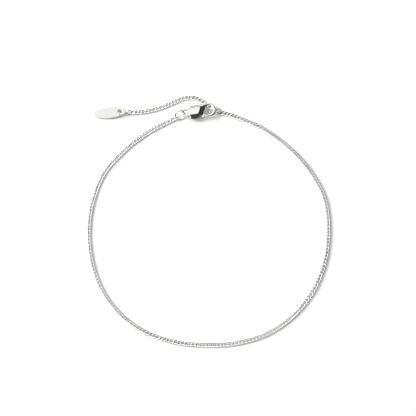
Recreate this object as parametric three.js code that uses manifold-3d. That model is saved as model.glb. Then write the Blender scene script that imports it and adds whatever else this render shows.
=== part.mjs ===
// Curb chain bracelet with a lobster clasp, an extender and an oval tag, lying on a table.
// Millimetres, +Z up, the table at z = 0, the origin under the middle of the whole.
import * as THREE from "three";
import { mergeVertices } from "three/addons/utils/BufferGeometryUtils.js";
import Module from "manifold-3d";

const wasm = await Module();
wasm.setup();
const { Manifold } = wasm;
const degrees = THREE.MathUtils.degToRad;

// Curb chain: lengths and widths of a link go by the middle of its wire
const LINK_LENGTH = 1.18;
const LINK_WIDTH = 0.74;
const LINK_TWIST = degrees(-58);
const LINK_WIRE = 0.338;
const LINK_PITCH = 0.82;
const END_LINK_LENGTH = 1.3;
const END_LINK_WIDTH = 0.98;
const END_LINK_WIRE = 0.28;
const CHAIN_WIDTH = 1.04;
const CHAIN_THICKNESS = 0.67;
const CHAIN_STEPS = 76;

// Lobster clasp: u runs from the eye to the bow, v to the far side, both from the eye's outer end
const CLASP_PLACE = { x: -6.3, y: 25.62, z: 1.21, heading: degrees(8.8) };
const EYE_MIDDLE_U = 1.0;
const EYE_RADIUS = 0.76;
const EYE_WIRE = 0.48;
const CASE_ASIDE = -0.15;
const SLOT = { u: [3.8, 5.4], v: [-2.1, -0.2], height: 0.66 };
const PIVOT = { u: 4.45, v: -0.8, pin: 0.44, bore: 0.58 };
const LEVER_HUB = 1.0;
const LEVER_HEIGHT = 0.5;
const THUMB_TAB = { u: 4.86, v: -1.5, length: 0.5, reach: 0.66, height: 0.46 };

// Tag: an oval plate, its hole near the pointed end
const TAG_PLACE = { x: -22.75, y: 26.11, z: 0.44, heading: degrees(5.4), rise: degrees(4) };
const TAG_LENGTH = 7.5;
const TAG_WIDTH = 2.6;
const TAG_THICKNESS = 0.36;
const TAG_EDGE = 0.08;
const TAG_HOLE = 1.0;
const TAG_HOLE_ALONG = 2.34;

// Route of the main chain over the table, from the hook round to the clasp's eye
const MAIN_ROUTE = [
  { x: 2.8, y: 26.23 },
  { x: 4.88, y: 25.63 },
  { x: 9.27, y: 23.81 },
  { x: 12.59, y: 22.08 },
  { x: 18.09, y: 17.67 },
  { x: 22.83, y: 12.04 },
  { x: 26.19, y: 5.13 },
  { x: 27.02, y: -2.2 },
  { x: 26.07, y: -10.42 },
  { x: 23.22, y: -17.57 },
  { x: 18.58, y: -23.49 },
  { x: 12.63, y: -27.67 },
  { x: 6.0, y: -29.72 },
  { x: -0.7, y: -30.15 },
  { x: -7.42, y: -29.49 },
  { x: -13.95, y: -27.21 },
  { x: -19.72, y: -22.92 },
  { x: -23.96, y: -16.97 },
  { x: -26.33, y: -10.0 },
  { x: -27.06, y: -2.6 },
  { x: -26.17, y: 4.68 },
  { x: -23.63, y: 11.43 },
  { x: -19.07, y: 16.96 },
  { x: -14.71, y: 20.69 },
  { x: -12.69, y: 22.05 },
  { x: -10.66, y: 23.21 },
  { x: -8.0, y: 24.65 },
];

// Route of the extender, from the ring in the hook, under the hook's far arm, to the tag's ring
const EXTENDER_ROUTE = [
  { x: -0.05, y: 27.25 },
  { x: -0.78, y: 28.42 },
  { x: -1.8, y: 29.25 },
  { x: -3.13, y: 29.86 },
  { x: -4.69, y: 30.0 },
  { x: -6.77, y: 29.51 },
  { x: -8.59, y: 28.57 },
  { x: -11.18, y: 27.41 },
  { x: -13.88, y: 26.64 },
  { x: -15.98, y: 26.33 },
  { x: -17.7, y: 26.23 },
];

// Wire rings: heading turns the level diameter, lean turns the plane away from upright, in degrees
const RINGS = {
  jump_ring: { outside: 2.55, wire: 0.34, x: -6.58, y: 25.3, z: 1.09, heading: 14, lean: 36 },
  hook_ring: { outside: 2.75, wire: 0.34, x: 1.17, y: 26.44, z: 1.36, heading: -8, lean: -12 },
  tag_ring: { outside: 2.5, wire: 0.28, x: -19.52, y: 25.86, z: 1.09, heading: -2.6, lean: -33 },
};

// Plain oval links at the ends of the chains, each through one of the rings, turned in degrees
const END_LINKS = {
  main_at_hook: { x: 2.34, y: 26.4, z: 0.61, heading: -12.6, pitch: -34.5, roll: -3 },
  main_at_eye: { x: -7.58, y: 24.79, z: 0.54, heading: 24.1, pitch: 16.7, roll: -45.6 },
  extender_at_hook: { x: 0.28, y: 26.79, z: 0.56, heading: 123.8, pitch: -15.8, roll: -3.1 },
  extender_at_tag: { x: -18.34, y: 26.14, z: 0.58, heading: 10.5, pitch: -20.5, roll: 53.8 },
};

// Upper quarter of the case's outline in shares of its half sizes: a flat top, a bevel and a narrow side
const CASE_OUTLINE = [
  { across: 0, up: 1 },
  { across: 0.28, up: 0.98 },
  { across: 0.42, up: 0.92 },
  { across: 0.54, up: 0.82 },
  { across: 0.97, up: 0.1 },
  { across: 1, up: 0.03 },
];

// Case of the clasp: half sizes of its section along u, and its lean along u for each millimetre across
const CASE_SECTIONS = [
  { u: 1.5, across: 0.52, up: 0.42, lean: 0 },
  { u: 1.62, across: 1.02, up: 0.8, lean: 0 },
  { u: 1.85, across: 1.45, up: 1.06, lean: 0 },
  { u: 2.2, across: 1.63, up: 1.16, lean: 0.02 },
  { u: 2.8, across: 1.72, up: 1.19, lean: 0.1 },
  { u: 3.6, across: 1.74, up: 1.2, lean: 0.3 },
  { u: 4.1, across: 1.74, up: 1.18, lean: 0.42 },
  { u: 4.3, across: 1.72, up: 1.12, lean: 0.44 },
  { u: 4.65, across: 1.68, up: 0.88, lean: 0.44 },
  { u: 5.05, across: 1.58, up: 0.6, lean: 0.44 },
  { u: 5.3, across: 1.48, up: 0.46, lean: 0.44 },
];

// Fixed hook from inside the case round the bow to the tip: middle line, half sizes and inward roll (degrees)
const HOOK_SECTIONS = [
  { u: 4.2, v: 0.94, across: 0.54, up: 0.44, roll: 38 },
  { u: 5.2, v: 1.1, across: 0.54, up: 0.32, roll: 44 },
  { u: 6.2, v: 1.14, across: 0.54, up: 0.28, roll: 46 },
  { u: 6.9, v: 1.06, across: 0.48, up: 0.29, roll: 46 },
  { u: 7.36, v: 0.7, across: 0.42, up: 0.38, roll: 28 },
  { u: 7.57, v: 0.1, across: 0.4, up: 0.44, roll: 0 },
  { u: 7.58, v: -0.45, across: 0.4, up: 0.42, roll: -10 },
  { u: 7.36, v: -0.98, across: 0.41, up: 0.37, roll: -30 },
  { u: 6.85, v: -1.34, across: 0.4, up: 0.33, roll: -40 },
  { u: 6.08, v: -1.45, across: 0.28, up: 0.28, roll: -40 },
];

// Lever: middle line and half width from the pivot to the tip of the gate
const LEVER_SECTIONS = [
  { u: 4.45, v: -0.8, across: 0.3 },
  { u: 5.0, v: -1.14, across: 0.27 },
  { u: 5.5, v: -1.34, across: 0.24 },
  { u: 5.83, v: -1.42, across: 0.2 },
];

const polishedSilver = new THREE.MeshStandardMaterial({ color: 0xd9d9d6, metalness: 1, roughness: 0.12 });
const satinSilver = new THREE.MeshStandardMaterial({ color: 0xdcdcda, metalness: 1, roughness: 0.3 });

// Solid of a closed geometry
function solid(geometry) {
  const bare = new THREE.BufferGeometry();
  bare.setAttribute("position", geometry.getAttribute("position"));
  bare.setIndex(geometry.getIndex());
  const merged = mergeVertices(bare, 1e-4);
  const vertProperties = merged.getAttribute("position").array;
  const triVerts = new Uint32Array(merged.getIndex().array);
  return new Manifold(new wasm.Mesh({ numProp: 3, vertProperties, triVerts }));
}

// Named mesh of a solid
function meshOf(name, body, material) {
  const { vertProperties, triVerts } = body.getMesh();
  const geometry = new THREE.BufferGeometry();
  geometry.setAttribute("position", new THREE.BufferAttribute(vertProperties, 3));
  geometry.setIndex(new THREE.BufferAttribute(triVerts, 1));
  geometry.computeVertexNormals();
  const mesh = new THREE.Mesh(geometry, material);
  mesh.name = name;
  return mesh;
}

// Skin through rings of equally many points, with flat ends
function loft(rings) {
  const count = rings[0].length;
  const last = (rings.length - 1) * count;
  const index = [];
  for (let start = 0; start < last; start += count) {
    for (let i = 0; i < count; i += 1) {
      const a = start + i;
      const b = start + ((i + 1) % count);
      index.push(a, b, a + count, b, b + count, a + count);
    }
  }
  for (let i = 1; i + 1 < count; i += 1) {
    index.push(0, i + 1, i, last, last + i, last + i + 1);
  }
  const geometry = new THREE.BufferGeometry().setFromPoints(rings.flat());
  geometry.setIndex(index);
  return geometry;
}

// Ring of points of an oval section, with a flat facet at the bottom
function ovalRing(middle, aside, above, { x: across, y: up }, sides) {
  return Array.from({ length: sides }, (_, i) => {
    const angle = ((i + 0.5) / sides) * 2 * Math.PI;
    const point = middle.clone().addScaledVector(aside, across * Math.cos(angle));
    return point.addScaledVector(above, up * Math.sin(angle));
  });
}

// Oval bar along a level middle line
function bar(sections, steps, sides) {
  const middles = sections.map(({ u, v }) => new THREE.Vector3(u, v, 0));
  const sizes = sections.map(({ across, up, roll }) => new THREE.Vector3(across, up, degrees(roll)));
  const line = new THREE.CatmullRomCurve3(middles);
  const form = new THREE.CatmullRomCurve3(sizes);
  const rings = [];
  for (let i = 0; i <= steps; i += 1) {
    const tangent = line.getTangent(i / steps);
    const size = form.getPoint(i / steps);
    const aside = new THREE.Vector3(-tangent.y, tangent.x, 0).applyAxisAngle(tangent, size.z);
    const above = new THREE.Vector3(0, 0, 1).applyAxisAngle(tangent, size.z);
    rings.push(ovalRing(line.getPoint(i / steps), aside, above, size, sides));
  }
  return loft(rings);
}

// Ring of points of the case's section
function caseRing({ u, across, up, lean }) {
  const right = CASE_OUTLINE.concat(CASE_OUTLINE.map((row) => ({ ...row, up: -row.up })).reverse());
  const left = right.slice(1, -1).map((row) => ({ ...row, across: -row.across })).reverse();
  return right.concat(left).map((row) => {
    const over = across * row.across;
    return new THREE.Vector3(u + lean * over, CASE_ASIDE + over, up * row.up);
  }).reverse();
}

// Middle line of a link's wire: an oval whose two ends are turned opposite ways
class LinkCurve extends THREE.Curve {
  constructor(length, width, twist) {
    super();
    this.half = { length: length / 2, width: width / 2 };
    this.twist = twist;
  }

  getPoint(t, target = new THREE.Vector3()) {
    const angle = 2 * Math.PI * t;
    const turn = this.twist * Math.cos(angle);
    const side = this.half.width * Math.sin(angle);
    return target.set(this.half.length * Math.cos(angle), side * Math.cos(turn), side * Math.sin(turn));
  }
}

function linkSolid(length, width, twist, wire, placing) {
  const curve = new LinkCurve(length, width, twist);
  return solid(new THREE.TubeGeometry(curve, 12, wire / 2, 6, true).applyMatrix4(placing));
}

function endLink({ x, y, z, heading, pitch, roll }) {
  const turn = new THREE.Euler(degrees(roll), degrees(-pitch), degrees(heading), "ZYX");
  const placing = new THREE.Matrix4().makeRotationFromEuler(turn);
  placing.setPosition(x, y, z);
  return linkSolid(END_LINK_LENGTH, END_LINK_WIDTH, 0, END_LINK_WIRE, placing);
}

function routeCurve(route) {
  return new THREE.CatmullRomCurve3(route.map(({ x, y }) => new THREE.Vector3(x, y, CHAIN_THICKNESS / 2)));
}

// Band of the chain's width and thickness along a route
function chainBand(route) {
  const [w, t] = [CHAIN_WIDTH / 2, CHAIN_THICKNESS / 2];
  const section = new THREE.Shape([
    [t, -0.5 * w], [t, 0.5 * w], [0.45 * t, w], [-0.45 * t, w],
    [-t, 0.5 * w], [-t, -0.5 * w], [-0.45 * t, -w], [0.45 * t, -w],
  ].map(([x, y]) => new THREE.Vector2(x, y)));
  const extrudePath = routeCurve(route);
  return solid(new THREE.ExtrudeGeometry(section, { extrudePath, steps: CHAIN_STEPS }));
}

// Interlocked links along a route, fused where they touch
function linkedChain(route) {
  const curve = routeCurve(route);
  const count = Math.round(curve.getLength() / LINK_PITCH);
  const up = new THREE.Vector3(0, 0, 1);
  return Array.from({ length: count }, (_, i) => {
    const at = (i + 0.5) / count;
    const tangent = curve.getTangentAt(at);
    const placing = new THREE.Matrix4().makeBasis(tangent, up.clone().cross(tangent), up);
    placing.setPosition(curve.getPointAt(at));
    return linkSolid(LINK_LENGTH, LINK_WIDTH, LINK_TWIST, LINK_WIRE, placing);
  });
}

function ringMesh(name) {
  const { outside, wire, x, y, z, heading, lean } = RINGS[name];
  const round = new THREE.TorusGeometry((outside - wire) / 2, wire / 2, 6, 20);
  const ring = meshOf(name, solid(round), polishedSilver);
  ring.rotation.set(degrees(90 - lean), 0, degrees(heading), "ZYX");
  ring.position.set(x, y, z);
  return ring;
}

// Box between two corners
function block([u0, u1], [v0, v1], [w0, w1]) {
  const box = new THREE.BoxGeometry(u1 - u0, v1 - v0, w1 - w0);
  return solid(box.translate((u0 + u1) / 2, (v0 + v1) / 2, (w0 + w1) / 2));
}

// Upright cylinder about the lever's pivot
function pivotCylinder(diameter, height) {
  const cylinder = new THREE.CylinderGeometry(diameter / 2, diameter / 2, height, 16);
  return solid(cylinder.rotateX(Math.PI / 2).translate(PIVOT.u, PIVOT.v, 0));
}

// Clasp body: case, eye and hook in one casting, with a slot and a pin for the lever
function claspBody() {
  const eye = solid(new THREE.TorusGeometry(EYE_RADIUS, EYE_WIRE / 2, 8, 20).translate(EYE_MIDDLE_U, 0, 0));
  const slot = block(SLOT.u, SLOT.v, [-SLOT.height / 2, SLOT.height / 2]);
  return solid(loft(CASE_SECTIONS.map(caseRing)))
    .subtract(slot)
    .add(solid(bar(HOOK_SECTIONS, 24, 10)))
    .add(eye)
    .add(pivotCylinder(PIVOT.pin, SLOT.height + 0.3));
}

// Lever: hub on the pin, gate that closes the hook, and thumb tab
function claspLever() {
  const gate = bar(LEVER_SECTIONS.map((row) => ({ ...row, up: LEVER_HEIGHT / 2, roll: 0 })), 6, 10);
  const { u, v, length, reach, height } = THUMB_TAB;
  const tab = new THREE.SphereGeometry(0.5, 12, 8).scale(length, reach, height).translate(u, v, 0);
  return pivotCylinder(LEVER_HUB, LEVER_HEIGHT)
    .add(solid(gate))
    .add(solid(tab))
    .subtract(pivotCylinder(PIVOT.bore, 1));
}

// Tag: oval plate with softened edges and a round hole
function tagMesh() {
  const outline = new THREE.Shape();
  outline.absellipse(0, 0, TAG_LENGTH / 2 - TAG_EDGE, TAG_WIDTH / 2 - TAG_EDGE, 0, 2 * Math.PI);
  const depth = TAG_THICKNESS - 2 * TAG_EDGE;
  const bevel = { bevelThickness: TAG_EDGE, bevelSize: TAG_EDGE, bevelSegments: 2, curveSegments: 40 };
  const plate = new THREE.ExtrudeGeometry(outline, { depth, ...bevel }).translate(0, 0, -depth / 2);
  const bore = new THREE.CylinderGeometry(TAG_HOLE / 2, TAG_HOLE / 2, 2, 24).rotateX(Math.PI / 2);
  const hole = solid(bore.translate(TAG_HOLE_ALONG, 0, 0));
  const tag = meshOf("tag", solid(plate).subtract(hole), satinSilver);
  tag.rotation.set(0, -TAG_PLACE.rise, TAG_PLACE.heading, "ZYX");
  tag.position.set(TAG_PLACE.x, TAG_PLACE.y, TAG_PLACE.z);
  return tag;
}

const mainChain = chainBand(MAIN_ROUTE)
  .add(endLink(END_LINKS.main_at_hook))
  .add(endLink(END_LINKS.main_at_eye));
const extenderChain = Manifold.union([
  ...linkedChain(EXTENDER_ROUTE),
  endLink(END_LINKS.extender_at_hook),
  endLink(END_LINKS.extender_at_tag),
]);

const clasp = new THREE.Group();
clasp.position.set(CLASP_PLACE.x, CLASP_PLACE.y, CLASP_PLACE.z);
clasp.rotation.z = CLASP_PLACE.heading;
clasp.add(
  meshOf("clasp_body", claspBody(), polishedSilver),
  meshOf("clasp_lever", claspLever(), polishedSilver),
);

const bracelet = new THREE.Group();
bracelet.add(
  meshOf("main_chain", mainChain, polishedSilver),
  meshOf("extender_chain", extenderChain, polishedSilver),
  ringMesh("jump_ring"),
  ringMesh("hook_ring"),
  ringMesh("tag_ring"),
  tagMesh(),
  clasp,
);

export default bracelet;
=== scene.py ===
"""Curb chain bracelet lying closed on a white table, with a lobster clasp, an extender and an oval tag.

The tables are in millimetres and degrees, in the frame of the solid model. Finished meshes are in metres.
"""

import math

import bmesh
import bpy
import numpy as np
from mathutils import Matrix, Vector


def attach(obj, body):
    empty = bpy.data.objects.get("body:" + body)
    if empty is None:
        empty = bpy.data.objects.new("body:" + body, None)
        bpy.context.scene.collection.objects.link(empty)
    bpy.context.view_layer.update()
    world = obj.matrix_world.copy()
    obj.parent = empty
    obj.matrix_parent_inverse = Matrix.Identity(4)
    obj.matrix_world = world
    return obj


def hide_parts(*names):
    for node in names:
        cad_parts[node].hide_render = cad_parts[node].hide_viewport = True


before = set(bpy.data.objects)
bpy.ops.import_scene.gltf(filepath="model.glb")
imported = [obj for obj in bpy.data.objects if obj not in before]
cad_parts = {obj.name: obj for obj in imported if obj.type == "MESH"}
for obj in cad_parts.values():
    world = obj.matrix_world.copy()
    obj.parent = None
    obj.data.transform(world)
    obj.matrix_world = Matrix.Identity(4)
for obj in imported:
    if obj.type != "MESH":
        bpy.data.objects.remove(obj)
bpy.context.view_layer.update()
scene = bpy.context.scene
MM = 0.001

# Curb chain: a link's length and width go by the middle of its wire
CURB_LINK = {
    "Length": 1.18, "Width": 0.74, "Twist": math.radians(-58), "Wire": 0.3, "Around": 14, "Sides": 6}
LINK_PITCH = 0.82
LINK_ROLL = math.radians(3)
CHAIN_MIDDLE = 0.335
ROUTE_STEPS = 400
END_LINK = {"Length": 1.3, "Width": 0.98, "Twist": 0.0, "Wire": 0.28, "Around": 36, "Sides": 12}

# Route of the main chain over the table, from the hook round to the clasp's eye
MAIN_ROUTE = [
    (2.8, 26.23), (4.88, 25.63), (9.27, 23.81), (12.59, 22.08), (18.09, 17.67), (22.83, 12.04),
    (26.19, 5.13), (27.02, -2.2), (26.07, -10.42), (23.22, -17.57), (18.58, -23.49), (12.63, -27.67),
    (6.0, -29.72), (-0.7, -30.15), (-7.42, -29.49), (-13.95, -27.21), (-19.72, -22.92), (-23.96, -16.97),
    (-26.33, -10.0), (-27.06, -2.6), (-26.17, 4.68), (-23.63, 11.43), (-19.07, 16.96), (-14.71, 20.69),
    (-12.69, 22.05), (-10.66, 23.21), (-8.0, 24.65),
]
# Route of the extender, from the ring in the hook, under the hook's far arm, to the tag's ring
EXTENDER_ROUTE = [
    (-0.05, 27.25), (-0.78, 28.42), (-1.8, 29.25), (-3.13, 29.86), (-4.69, 30.0), (-6.77, 29.51),
    (-8.59, 28.57), (-11.18, 27.41), (-13.88, 26.64), (-15.98, 26.33), (-17.7, 26.23),
]
# Plain oval links at the ends of the chains: place, then heading, pitch and roll
END_LINKS = {
    "main_at_hook": ((2.34, 26.4, 0.61), (-12.6, -34.5, -3.0)),
    "main_at_eye": ((-7.58, 24.79, 0.54), (24.1, 16.7, -45.6)),
    "extender_at_hook": ((0.28, 26.79, 0.56), (123.8, -15.8, -3.1)),
    "extender_at_tag": ((-18.34, 26.14, 0.58), (10.5, -20.5, 53.8)),
}
RING_CUTS = {"Around": 64, "Sides": 16}
# Wire rings: outside size, wire, place, heading of the level diameter and lean from upright
RINGS = {
    "jump_ring": (2.55, 0.34, (-6.58, 25.3, 1.09), 14.0, 36.0),
    "hook_ring": (2.75, 0.34, (1.17, 26.44, 1.36), -8.0, -12.0),
    "tag_ring": (2.5, 0.28, (-19.52, 25.86, 1.09), -2.6, -33.0),
}

# Lobster clasp: u runs from the eye to the bow, v to the far side, both from the eye's outer end
CLASP_PLACE = ((-6.3, 25.62, 1.21), 8.8)
EYE = {"middle": 1.0, "radius": 0.76, "wire": 0.48}
SLOT = ((3.8, -2.1, -0.33), (5.4, -0.2, 0.33))
PIVOT = {"u": 4.45, "v": -0.8, "pin": 0.44, "bore": 0.58}
LEVER_HUB = (1.0, 0.5)
THUMB_TAB = ((4.86, -1.5, 0.0), (0.5, 0.66, 0.46))
# Case's upper quarter outline, in shares of its half sizes: a flat top, a bevel and a narrow side
CASE_OUTLINE = [(0, 1), (0.28, 0.98), (0.42, 0.92), (0.54, 0.82), (0.97, 0.1), (1, 0.03)]
CASE_ASIDE = -0.15
# Case: u, half sizes across and up, and how far the section leans along u for each millimetre across
CASE_SECTIONS = [
    (1.5, 0.52, 0.42, 0.0), (1.62, 1.02, 0.8, 0.0), (1.85, 1.45, 1.06, 0.0), (2.2, 1.63, 1.16, 0.02),
    (2.8, 1.72, 1.19, 0.1), (3.6, 1.74, 1.2, 0.3), (4.1, 1.74, 1.18, 0.42), (4.3, 1.72, 1.12, 0.44),
    (4.65, 1.68, 0.88, 0.44), (5.05, 1.58, 0.6, 0.44), (5.3, 1.48, 0.46, 0.44),
]
# Fixed hook from inside the case round the bow to the tip: u, v, half sizes across and up, degrees that the
# section rolls inwards, and its squareness, from 2 for an oval to 4 for nearly flat faces
HOOK_SECTIONS = [
    (4.2, 0.94, 0.52, 0.42, 40, 4), (5.2, 1.1, 0.52, 0.28, 45, 4), (6.2, 1.14, 0.52, 0.26, 46, 4),
    (6.9, 1.06, 0.48, 0.28, 46, 4), (7.36, 0.7, 0.42, 0.38, 28, 3), (7.57, 0.1, 0.4, 0.44, 0, 2),
    (7.58, -0.45, 0.4, 0.42, -10, 2), (7.36, -0.98, 0.41, 0.37, -30, 2), (6.85, -1.34, 0.4, 0.33, -40, 2),
    (6.08, -1.45, 0.28, 0.28, -40, 2),
]
# Gate of the lever from the pivot to its tip, in the same columns
GATE_SECTIONS = [
    (4.45, -0.8, 0.3, 0.25, 0, 2), (5.0, -1.14, 0.27, 0.25, 0, 2), (5.5, -1.34, 0.24, 0.25, 0, 2),
    (5.83, -1.42, 0.2, 0.25, 0, 2),
]
# How finely the clasp's shapes are cut, along and around, before they are fused
CASE_CUTS = (80, 96)
HOOK_CUTS = (80, 28)
GATE_CUTS = (24, 28)
EYE_CUTS = (64, 20)
TAB_CUTS = (32, 16)
CYLINDER_SIDES = 48
# Casting: size of the grain that it is fused at, and smoothing passes on each part
CAST_GRAIN = 0.03
BODY_PASSES = 14
LEVER_PASSES = 4
# Pin's hold in the case beyond the slot, and a height that cuts right through the lever
PIN_HOLD = 0.15
THROUGH = 2.0

# Tag: place, heading and rise of the end with the hole
TAG_PLACE = ((-22.75, 26.11, 0.44), 5.4, 4.0)
TAG = {"length": 7.5, "width": 2.6, "thickness": 0.36, "edge": 0.08, "hole": 1.0, "hole_along": 2.34}
TAG_CUTS = {"rim": 128, "hole": 48, "edge": 3}

# Camera: the image is 416 pixels square
AIM = (-0.2, 2.75, 0.0)
CAMERA_HEIGHT = math.radians(68)
CAMERA_DISTANCE = 600.0
CAMERA_NEAR = 20.0
PIXEL_AT_AIM = 0.2265
IMAGE_SIDE = 416
SENSOR = 36.0
# Pixels are kept crisp, so that links five pixels wide stay apart
PIXEL_FILTER = 1.0

# Table top: half its side, and how far it lies under the chain so that the two don't share a plane
TABLE_REACH = 2000.0
TABLE_DROP = 0.01

# Fine rub marks on polished silver
HAZE = {"roughness": 0.3, "share": 0.3}

# Light: a broad glow overhead in a dark studio, with the direction of its middle, the angles where it starts
# and ends to fade, and its strength; it is longer from front to back than from side to side
GLOW = {
    "from": (-0.35, 0.16, 0.92), "full": math.radians(30), "gone": math.radians(62), "strength": 1.2,
    "dark": 0.03}
GLOW_STRETCH = 0.55
# Square lamp that faces the middle of the table
LAMP = {"place": (-315, 60, 255), "size": 200, "power": 1.34}


def linear(code):
    """Linear colour of an sRGB hex value."""
    parts = [int(code[i:i + 2], 16) / 255 for i in (1, 3, 5)]
    return tuple(c / 12.92 if c <= 0.04045 else ((c + 0.055) / 1.055) ** 2.4 for c in parts) + (1.0,)


def add(tree, kind, feeds=None, **settings):
    """One node with its settings. feeds gives its sockets values, or links from other sockets."""
    node = tree.nodes.new(kind)
    for name, value in settings.items():
        setattr(node, name, value)
    for name, value in (feeds or {}).items():
        if isinstance(value, bpy.types.NodeSocket):
            tree.links.new(value, node.inputs[name])
        else:
            node.inputs[name].default_value = value
    return node


def per_metre(size_mm):
    """Pattern scale on object coordinates for a feature of that size."""
    return 1 / (size_mm * MM)


# Materials


def new_material(name):
    """Empty material and its node tree."""
    material = bpy.data.materials.new(name)
    material.use_nodes = True
    material.node_tree.nodes.clear()
    return material, material.node_tree


def silver_finish(tree, code, sharpness, bump):
    """Silver with a clear reflection, and over it the broad faint haze that fine rub marks give."""
    clear, haze = (add(tree, "ShaderNodeBsdfPrincipled", {
        "Base Color": linear(code), "Metallic": 1.0, "Roughness": roughness,
        "Normal": bump.outputs["Normal"]})
        for roughness in (sharpness.outputs["Result"], HAZE["roughness"]))
    mixed = add(tree, "ShaderNodeMixShader", {
        0: HAZE["share"], 1: clear.outputs["BSDF"], 2: haze.outputs["BSDF"]})
    add(tree, "ShaderNodeOutputMaterial", {"Surface": mixed.outputs["Shader"]})


def drawn_silver():
    """Sterling silver wire, drawn and polished: near mirror, faintly uneven so that highlights break."""
    material, tree = new_material("sterling silver, drawn wire, polished")
    place = add(tree, "ShaderNodeTexCoord").outputs["Object"]
    wear = add(tree, "ShaderNodeTexNoise", {"Vector": place, "Scale": per_metre(0.25), "Detail": 3.0})
    rough = add(tree, "ShaderNodeMapRange", {
        "Value": wear.outputs["Fac"], "From Min": 0.3, "From Max": 0.7, "To Min": 0.08, "To Max": 0.17})
    lines = add(tree, "ShaderNodeTexNoise", {"Vector": place, "Scale": per_metre(0.06), "Detail": 2.0})
    bump = add(tree, "ShaderNodeBump", {
        "Height": lines.outputs["Fac"], "Strength": 0.12, "Distance": 0.002 * MM})
    silver_finish(tree, "#e8e8e6", rough, bump)
    return material


def cast_silver():
    """Sterling silver casting, tumbled and polished: bright, with soft dimples that bend reflections."""
    material, tree = new_material("sterling silver, cast and tumbled")
    place = add(tree, "ShaderNodeTexCoord").outputs["Object"]
    wear = add(tree, "ShaderNodeTexNoise", {"Vector": place, "Scale": per_metre(0.5), "Detail": 4.0})
    rough = add(tree, "ShaderNodeMapRange", {
        "Value": wear.outputs["Fac"], "From Min": 0.3, "From Max": 0.7, "To Min": 0.06, "To Max": 0.14})
    dimples = add(tree, "ShaderNodeTexNoise", {"Vector": place, "Scale": per_metre(0.35), "Detail": 1.0})
    bump = add(tree, "ShaderNodeBump", {
        "Height": dimples.outputs["Fac"], "Strength": 0.25, "Distance": 0.004 * MM})
    silver_finish(tree, "#e3e3e1", rough, bump)
    return material


def stamped_silver():
    """Sterling silver sheet, stamped and softly polished: a satin glow with fine rub lines along the tag."""
    material, tree = new_material("sterling silver sheet, stamped and softly polished")
    place = add(tree, "ShaderNodeTexCoord").outputs["Object"]
    along = add(tree, "ShaderNodeMapping", {
        "Vector": place, "Rotation": (0, 0, -math.radians(TAG_PLACE[1])), "Scale": (0.08, 1.0, 1.0)})
    rubs = add(tree, "ShaderNodeTexNoise", {
        "Vector": along.outputs["Vector"], "Scale": per_metre(0.12), "Detail": 4.0})
    rough = add(tree, "ShaderNodeMapRange", {
        "Value": rubs.outputs["Fac"], "From Min": 0.3, "From Max": 0.7, "To Min": 0.26, "To Max": 0.38})
    bump = add(tree, "ShaderNodeBump", {
        "Height": rubs.outputs["Fac"], "Strength": 0.2, "Distance": 0.003 * MM})
    shader = add(tree, "ShaderNodeBsdfPrincipled", {
        "Base Color": linear("#d6d6d4"), "Metallic": 1.0, "Roughness": rough.outputs["Result"],
        "Normal": bump.outputs["Normal"]})
    add(tree, "ShaderNodeOutputMaterial", {"Surface": shader.outputs["BSDF"]})
    return material


def white_card():
    """Matte white card: an even pale ground that takes soft shadows."""
    material, tree = new_material("white card, matte")
    shader = add(tree, "ShaderNodeBsdfPrincipled", {"Base Color": linear("#f6f6f6"), "Roughness": 0.95})
    add(tree, "ShaderNodeOutputMaterial", {"Surface": shader.outputs["BSDF"]})
    return material


# Wire links and rings


def new_tree(name, inputs):
    """Geometry node tree with named inputs, and its group input and output nodes."""
    tree = bpy.data.node_groups.new(name, "GeometryNodeTree")
    for label, kind in inputs.items():
        tree.interface.new_socket(label, in_out="INPUT", socket_type="NodeSocket" + kind)
    tree.interface.new_socket("Geometry", in_out="OUTPUT", socket_type="NodeSocketGeometry")
    return tree, add(tree, "NodeGroupInput").outputs, add(tree, "NodeGroupOutput")


LOOP_INPUTS = {
    "Length": "Float", "Width": "Float", "Twist": "Float", "Wire": "Float", "Around": "Int", "Sides": "Int"}


def wire_loop_tree():
    """Closed wire: an oval whose two ends are turned opposite ways by the twist."""
    tree, given, out = new_tree("wire loop", LOOP_INPUTS)
    circle = add(tree, "GeometryNodeCurvePrimitiveCircle", {"Resolution": given["Around"], "Radius": 1.0})
    place = add(tree, "GeometryNodeInputPosition").outputs["Position"]
    size = add(tree, "ShaderNodeCombineXYZ", {"X": given["Length"], "Y": given["Width"]})
    half = add(tree, "ShaderNodeVectorMath", {0: size.outputs["Vector"], "Scale": 0.5}, operation="SCALE")
    flat = add(tree, "ShaderNodeVectorMath", {0: place, 1: half.outputs["Vector"]}, operation="MULTIPLY")
    along = add(tree, "ShaderNodeSeparateXYZ", {"Vector": place})
    turn = add(tree, "ShaderNodeMath", {0: along.outputs["X"], 1: given["Twist"]}, operation="MULTIPLY")
    point = add(tree, "ShaderNodeVectorRotate", {
        "Vector": flat.outputs["Vector"], "Angle": turn.outputs["Value"]}, rotation_type="X_AXIS")
    line = add(tree, "GeometryNodeSetPosition", {
        "Geometry": circle.outputs["Curve"], "Position": point.outputs["Vector"]})
    radius = add(tree, "ShaderNodeMath", {0: given["Wire"], 1: 0.5}, operation="MULTIPLY")
    profile = add(tree, "GeometryNodeCurvePrimitiveCircle", {
        "Resolution": given["Sides"], "Radius": radius.outputs["Value"]})
    wire = add(tree, "GeometryNodeCurveToMesh", {
        "Curve": line.outputs["Geometry"], "Profile Curve": profile.outputs["Curve"]})
    smooth = add(tree, "GeometryNodeSetShadeSmooth", {"Geometry": wire.outputs["Mesh"]})
    tree.links.new(smooth.outputs["Geometry"], out.inputs["Geometry"])
    return tree


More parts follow.
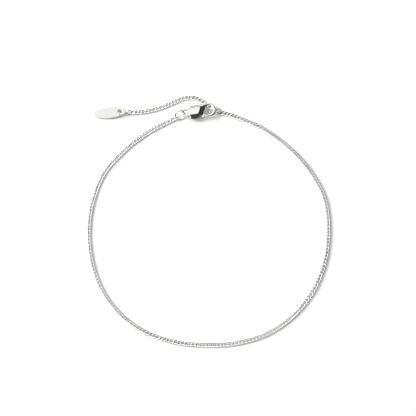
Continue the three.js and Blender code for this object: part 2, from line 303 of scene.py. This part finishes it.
def ring_tree(wire_loop):
    """One wire loop in its material."""
    tree, given, out = new_tree("wire ring", {**LOOP_INPUTS, "Silver": "Material"})
    loop = add(tree, "GeometryNodeGroup", node_tree=wire_loop)
    for name in LOOP_INPUTS:
        tree.links.new(given[name], loop.inputs[name])
    real = add(tree, "GeometryNodeRealizeInstances", {"Geometry": loop.outputs["Geometry"]})
    clad = add(tree, "GeometryNodeSetMaterial", {
        "Geometry": real.outputs["Geometry"], "Material": given["Silver"]})
    tree.links.new(clad.outputs["Geometry"], out.inputs["Geometry"])
    return tree


def chain_tree(wire_loop):
    """Links set evenly along a route that lies level, each with a small roll of its own."""
    tree, given, out = new_tree("curb chain", {
        "Geometry": "Geometry", "Links": "Int", "Roll": "Float", **LOOP_INPUTS, "Silver": "Material"})
    loop = add(tree, "GeometryNodeGroup", node_tree=wire_loop)
    for name in LOOP_INPUTS:
        tree.links.new(given[name], loop.inputs[name])
    route = add(tree, "GeometryNodeMeshToCurve", {"Mesh": given["Geometry"]})
    half = add(tree, "ShaderNodeMath", {0: 0.5, 1: given["Links"]}, operation="DIVIDE")
    rest = add(tree, "ShaderNodeMath", {0: 1.0, 1: half.outputs["Value"]}, operation="SUBTRACT")
    trimmed = add(tree, "GeometryNodeTrimCurve", {
        "Curve": route.outputs["Curve"], "Start": half.outputs["Value"], "End": rest.outputs["Value"]})
    spaced = add(tree, "GeometryNodeResampleCurve", {
        "Curve": trimmed.outputs["Curve"], "Count": given["Links"]})
    places = add(tree, "GeometryNodeCurveToPoints", {"Curve": spaced.outputs["Curve"]}, mode="EVALUATED")
    facing = add(tree, "FunctionNodeAlignRotationToVector", {"Vector": places.outputs["Tangent"]},
                 axis="X", pivot_axis="Z")
    least = add(tree, "ShaderNodeMath", {0: given["Roll"], 1: -1.0}, operation="MULTIPLY")
    chance = add(tree, "FunctionNodeRandomValue", {2: least.outputs["Value"], 3: given["Roll"], "Seed": 7},
                 data_type="FLOAT")
    roll = add(tree, "FunctionNodeAxisAngleToRotation", {"Axis": (1, 0, 0), "Angle": chance.outputs[1]})
    turned = add(tree, "FunctionNodeRotateRotation", {
        "Rotation": facing.outputs["Rotation"], "Rotate By": roll.outputs["Rotation"]},
        rotation_space="LOCAL")
    links = add(tree, "GeometryNodeInstanceOnPoints", {
        "Points": places.outputs["Points"], "Instance": loop.outputs["Geometry"],
        "Rotation": turned.outputs["Rotation"]})
    real = add(tree, "GeometryNodeRealizeInstances", {"Geometry": links.outputs["Instances"]})
    clad = add(tree, "GeometryNodeSetMaterial", {
        "Geometry": real.outputs["Geometry"], "Material": given["Silver"]})
    tree.links.new(clad.outputs["Geometry"], out.inputs["Geometry"])
    return tree


def evaluated(host):
    """Plain mesh of an object with its modifiers, after which the object is gone."""
    scene.collection.objects.link(host)
    made = bpy.data.meshes.new_from_object(host.evaluated_get(bpy.context.evaluated_depsgraph_get()))
    bpy.data.objects.remove(host)
    return made


def grown(tree, values, points=()):
    """Mesh that a node tree makes of its inputs, along a line of points if it needs one."""
    line = bpy.data.meshes.new("line")
    line.from_pydata(points, [(i, i + 1) for i in range(len(points) - 1)], [])
    host = bpy.data.objects.new("host", line)
    modifier = host.modifiers.new("tree", "NODES")
    modifier.node_group = tree
    for socket in tree.interface.items_tree:
        if socket.in_out == "INPUT" and socket.name in values:
            modifier[socket.identifier] = values[socket.name]
    return evaluated(host)


def smooth_line(points, steps):
    """Points on the centripetal Catmull-Rom line through rows of numbers."""
    rows = np.asarray(points, float)
    rows = np.vstack([2 * rows[0] - rows[1], rows, 2 * rows[-1] - rows[-2]])
    made = []
    for t in np.linspace(0, len(rows) - 3, steps + 1):
        i = min(int(t), len(rows) - 4)
        w = t - i
        p = rows[i:i + 4]
        d = np.maximum(np.linalg.norm(np.diff(p, axis=0), axis=1), 1e-3) ** 0.5
        slopes = np.diff(p, axis=0) / d[:, None]
        m1 = (slopes[0] - (p[2] - p[0]) / (d[0] + d[1]) + slopes[1]) * d[1]
        m2 = (slopes[1] - (p[3] - p[1]) / (d[1] + d[2]) + slopes[2]) * d[1]
        made.append(p[1] + m1 * w + (3 * (p[2] - p[1]) - 2 * m1 - m2) * w ** 2
                    + (2 * (p[1] - p[2]) + m1 + m2) * w ** 3)
    return np.array(made)


def joined(meshes):
    """One mesh of several."""
    whole = bmesh.new()
    for mesh in meshes:
        whole.from_mesh(mesh)
    made = meshes[0].copy()
    whole.to_mesh(made)
    whole.free()
    return made


def chain_mesh(route, ends, trees, silver):
    """Links along a route, with the oval links at its two ends."""
    line = smooth_line(route, ROUTE_STEPS)
    length = np.linalg.norm(np.diff(line, axis=0), axis=1).sum()
    points = [(x, y, CHAIN_MIDDLE) for x, y in line]
    values = {**CURB_LINK, "Links": round(length / LINK_PITCH), "Roll": LINK_ROLL, "Silver": silver}
    meshes = [grown(trees["chain"], values, points)]
    for end in ends:
        place, (heading, pitch, roll) = END_LINKS[end]
        mesh = grown(trees["ring"], {**END_LINK, "Silver": silver})
        turn = [Matrix.Rotation(math.radians(angle), 4, axis)
                for angle, axis in ((heading, "Z"), (-pitch, "Y"), (roll, "X"))]
        mesh.transform(Matrix.Translation(place) @ turn[0] @ turn[1] @ turn[2])
        meshes.append(mesh)
    return joined(meshes)


def ring_mesh(name, trees, silver):
    """Round wire ring, turned from lying flat to its place."""
    outside, wire, place, heading, lean = RINGS[name]
    across = outside - wire
    mesh = grown(trees["ring"], {
        "Length": across, "Width": across, "Twist": 0.0, "Wire": wire, **RING_CUTS, "Silver": silver})
    turn = Matrix.Rotation(math.radians(heading), 4, "Z") @ Matrix.Rotation(math.radians(90 - lean), 4, "X")
    mesh.transform(Matrix.Translation(place) @ turn)
    return mesh


# Clasp


def oval(middle, aside, across, up, sides, squareness=2):
    """Ring of points of an oval or squarer section, across and up along the two directions in aside."""
    angle = (np.arange(sides) + 0.5) / sides * 2 * math.pi
    along, above = (np.sign(wave) * np.abs(wave) ** (2 / squareness)
                    for wave in (np.cos(angle), np.sin(angle)))
    over = across * along[:, None] * np.asarray(aside[0])
    return np.asarray(middle) + over + up * above[:, None] * np.asarray(aside[1])


def shell(rings, closed=False):
    """Closed mesh through rings of equally many points, with flat ends unless the rings form a loop."""
    rings = np.asarray(rings)
    count, sides = rings.shape[:2]
    faces = []
    for i in range(count if closed else count - 1):
        here, there = i * sides, (i + 1) % count * sides
        for j in range(sides):
            k = (j + 1) % sides
            faces.append((here + j, here + k, there + k, there + j))
    if not closed:
        faces += [range(sides), range((count - 1) * sides, count * sides)]
    mesh = bpy.data.meshes.new("shell")
    mesh.from_pydata(rings.reshape(-1, 3).tolist(), [], faces)
    form = bmesh.new()
    form.from_mesh(mesh)
    bmesh.ops.recalc_face_normals(form, faces=form.faces)
    form.to_mesh(mesh)
    form.free()
    return mesh


def bar(sections, steps, sides):
    """Oval or squarer bar along a level middle line, from rows as in the hook's table."""
    rows = np.asarray(sections)
    line = smooth_line(rows[:, :2], steps)
    sizes = smooth_line(np.column_stack([rows[:, 2:4], np.radians(rows[:, 4]), rows[:, 5]]), steps)
    ahead = np.gradient(line, axis=0)
    ahead /= np.linalg.norm(ahead, axis=1)[:, None]
    rings = []
    for (u, v), (du, dv), (across, up, roll, square) in zip(line, ahead, sizes):
        c, s = math.cos(roll), math.sin(roll)
        rings.append(oval((u, v, 0), ((-dv * c, du * c, s), (dv * s, -du * s, c)), across, up, sides, square))
    return shell(rings)


def cylinder(diameter, height):
    """Upright cylinder about the lever's pivot."""
    angle = np.linspace(0, 2 * math.pi, CYLINDER_SIDES, endpoint=False)
    u = PIVOT["u"] + diameter / 2 * np.cos(angle)
    v = PIVOT["v"] + diameter / 2 * np.sin(angle)
    return shell([np.column_stack([u, v, np.full(CYLINDER_SIDES, z)]) for z in (-height / 2, height / 2)])


def cut(mesh, tool):
    """Mesh with a tool's shape taken out of it."""
    host = bpy.data.objects.new("host", mesh)
    knife = bpy.data.objects.new("tool", tool)
    scene.collection.objects.link(knife)
    modifier = host.modifiers.new("cut", "BOOLEAN")
    modifier.operation = "DIFFERENCE"
    modifier.object = knife
    made = evaluated(host)
    bpy.data.objects.remove(knife)
    return made


def cast(meshes, passes):
    """One smooth casting from shells that run into each other."""
    host = bpy.data.objects.new("host", joined(meshes))
    fuse = host.modifiers.new("fuse", "REMESH")
    fuse.mode = "VOXEL"
    fuse.voxel_size = CAST_GRAIN
    fuse.use_smooth_shade = True
    polish = host.modifiers.new("polish", "SMOOTH")
    polish.iterations = passes
    return evaluated(host)


def box_mesh(low, high):
    """Box between two opposite corners."""
    (u0, v0, w0), (u1, v1, w1) = low, high
    return shell([[(u0, v0, w), (u1, v0, w), (u1, v1, w), (u0, v1, w)] for w in (w0, w1)])


def clasp_matrix():
    """Turn and shift from the clasp's u and v to the table."""
    place, heading = CLASP_PLACE
    return Matrix.Translation(place) @ Matrix.Rotation(math.radians(heading), 4, "Z")


def clasp_body_mesh():
    """Case, eye and hook in one casting, with the lever's slot and pin."""
    half = CASE_OUTLINE + [(x, -z) for x, z in reversed(CASE_OUTLINE)]
    steps, sides = CASE_CUTS
    outline = smooth_line(half + [(-x, z) for x, z in reversed(half)][1:], sides)[:-1]
    case = shell([[(u + lean * across * x, CASE_ASIDE + across * x, up * z) for x, z in outline]
                  for u, across, up, lean in smooth_line(CASE_SECTIONS, steps)])
    steps, sides = EYE_CUTS
    wire = EYE["wire"] / 2
    eye = shell([oval((EYE["middle"] + EYE["radius"] * math.cos(t), EYE["radius"] * math.sin(t), 0),
                      ((math.cos(t), math.sin(t), 0), (0, 0, 1)), wire, wire, sides)
                 for t in np.linspace(0, 2 * math.pi, steps, endpoint=False)], closed=True)
    pin = cylinder(PIVOT["pin"], SLOT[1][2] - SLOT[0][2] + 2 * PIN_HOLD)
    mesh = cast([cut(case, box_mesh(*SLOT)), bar(HOOK_SECTIONS, *HOOK_CUTS), eye, pin], BODY_PASSES)
    mesh.transform(clasp_matrix())
    return mesh


def clasp_lever_mesh():
    """Hub on the pin, gate that closes the hook, and thumb tab."""
    middle, size = THUMB_TAB
    ball = bmesh.new()
    bmesh.ops.create_uvsphere(ball, u_segments=TAB_CUTS[0], v_segments=TAB_CUTS[1], radius=0.5)
    tab = bpy.data.meshes.new("tab")
    ball.to_mesh(tab)
    ball.free()
    tab.transform(Matrix.Translation(middle) @ Matrix.Diagonal((*size, 1)))
    solid = cast([cylinder(*LEVER_HUB), bar(GATE_SECTIONS, *GATE_CUTS), tab], LEVER_PASSES)
    mesh = cut(solid, cylinder(PIVOT["bore"], THROUGH))
    mesh.transform(clasp_matrix())
    return mesh


# Tag


def tag_mesh():
    """Oval plate with rounded edges and a round hole."""
    outline = bpy.data.curves.new("tag outline", "CURVE")
    outline.dimensions = "2D"
    outline.fill_mode = "BOTH"
    outline.extrude = TAG["thickness"] / 2 - TAG["edge"]
    outline.bevel_depth = TAG["edge"]
    outline.bevel_resolution = TAG_CUTS["edge"]
    outline.offset = -TAG["edge"]
    for middle, a, b, count in ((0, TAG["length"] / 2, TAG["width"] / 2, TAG_CUTS["rim"]),
                                (TAG["hole_along"], TAG["hole"] / 2, TAG["hole"] / 2, TAG_CUTS["hole"])):
        spline = outline.splines.new("POLY")
        spline.points.add(count - 1)
        for i, point in enumerate(spline.points):
            angle = 2 * math.pi * i / count
            point.co = (middle + a * math.cos(angle), b * math.sin(angle), 0, 1)
        spline.use_cyclic_u = True
    plate = evaluated(bpy.data.objects.new("host", outline))
    form = bmesh.new()
    form.from_mesh(plate)
    bmesh.ops.remove_doubles(form, verts=form.verts, dist=1e-4)
    bmesh.ops.recalc_face_normals(form, faces=form.faces)
    form.to_mesh(plate)
    form.free()
    plate.shade_smooth()
    host = bpy.data.objects.new("host", plate)
    host.modifiers.new("flat faces", "WEIGHTED_NORMAL").weight = 100
    mesh = evaluated(host)
    place, heading, rise = TAG_PLACE
    turn = Matrix.Rotation(math.radians(heading), 4, "Z") @ Matrix.Rotation(-math.radians(rise), 4, "Y")
    mesh.transform(Matrix.Translation(place) @ turn)
    return mesh


# Stage


def make_camera():
    """Camera at the front, looking down on the loop."""
    back = Vector((0, -math.cos(CAMERA_HEIGHT), math.sin(CAMERA_HEIGHT)))
    data = bpy.data.cameras.new("camera")
    data.sensor_width = SENSOR
    data.lens = SENSOR * CAMERA_DISTANCE / (PIXEL_AT_AIM * IMAGE_SIDE)
    data.clip_start = CAMERA_NEAR * MM
    camera = bpy.data.objects.new("camera", data)
    camera.location = (Vector(AIM) + back * CAMERA_DISTANCE) * MM
    camera.rotation_euler = back.to_track_quat("Z", "Y").to_euler()
    scene.collection.objects.link(camera)
    scene.camera = camera


def make_floor():
    """White table top."""
    mesh = bpy.data.meshes.new("table_top")
    corners = [(x * TABLE_REACH, y * TABLE_REACH, -TABLE_DROP)
               for x, y in ((-1, -1), (1, -1), (1, 1), (-1, 1))]
    mesh.from_pydata(corners, [], [(0, 1, 2, 3)])
    mesh.transform(Matrix.Scale(MM, 4))
    mesh.materials.append(white_card())
    floor = bpy.data.objects.new("table_top", mesh)
    scene.collection.objects.link(floor)


def make_light():
    """A broad glow overhead, as of a large softbox in a dark studio, and a soft lamp at the left."""
    world = bpy.data.worlds.new("studio")
    world.use_nodes = True
    tree = world.node_tree
    tree.nodes.clear()
    ray = add(tree, "ShaderNodeTexCoord").outputs["Generated"]
    long = add(tree, "ShaderNodeVectorMath", {0: ray, 1: (1.0, GLOW_STRETCH, 1.0)}, operation="MULTIPLY")
    way = add(tree, "ShaderNodeVectorMath", {0: long.outputs["Vector"]}, operation="NORMALIZE")
    nearness = add(tree, "ShaderNodeVectorMath", {
        0: way.outputs["Vector"], 1: Vector(GLOW["from"]).normalized()}, operation="DOT_PRODUCT")
    glow = add(tree, "ShaderNodeMapRange", {
        "Value": nearness.outputs["Value"], "From Min": math.cos(GLOW["gone"]),
        "From Max": math.cos(GLOW["full"]), "To Min": GLOW["dark"], "To Max": GLOW["strength"]},
        interpolation_type="SMOOTHSTEP")
    sky = add(tree, "ShaderNodeBackground", {"Color": linear("#ffffff"), "Strength": glow.outputs["Result"]})
    add(tree, "ShaderNodeOutputWorld", {"Surface": sky.outputs["Background"]})
    scene.world = world
    data = bpy.data.lights.new("lamp", "AREA")
    data.size = LAMP["size"] * MM
    data.energy = LAMP["power"]
    lamp = bpy.data.objects.new("lamp", data)
    lamp.location = Vector(LAMP["place"]) * MM
    lamp.rotation_euler = Vector(LAMP["place"]).to_track_quat("Z", "Y").to_euler()
    scene.collection.objects.link(lamp)
    scene.view_settings.view_transform = "Standard"
    scene.cycles.filter_width = PIXEL_FILTER


def make_piece(name, mesh, material, body):
    """Finished piece at the origin, in metres, in place of the solid of the same name."""
    mesh.transform(Matrix.Scale(MM, 4))
    mesh.materials.clear()
    mesh.materials.append(material)
    mesh.name = name + "_fine"
    piece = bpy.data.objects.new(name + "_fine", mesh)
    scene.collection.objects.link(piece)
    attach(piece, body)
    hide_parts(name)


make_camera()
make_floor()
make_light()

wire_silver = drawn_silver()
clasp_silver = cast_silver()
wire_loop = wire_loop_tree()
trees = {"chain": chain_tree(wire_loop), "ring": ring_tree(wire_loop)}

main_chain = chain_mesh(MAIN_ROUTE, ("main_at_hook", "main_at_eye"), trees, wire_silver)
extender = chain_mesh(EXTENDER_ROUTE, ("extender_at_hook", "extender_at_tag"), trees, wire_silver)
make_piece("main_chain", main_chain, wire_silver, "bracelet")
make_piece("extender_chain", extender, wire_silver, "bracelet")
for ring in RINGS:
    make_piece(ring, ring_mesh(ring, trees, wire_silver), wire_silver, "bracelet")
make_piece("clasp_body", clasp_body_mesh(), clasp_silver, "bracelet")
make_piece("clasp_lever", clasp_lever_mesh(), clasp_silver, "lever")
make_piece("tag", tag_mesh(), stamped_silver(), "bracelet")
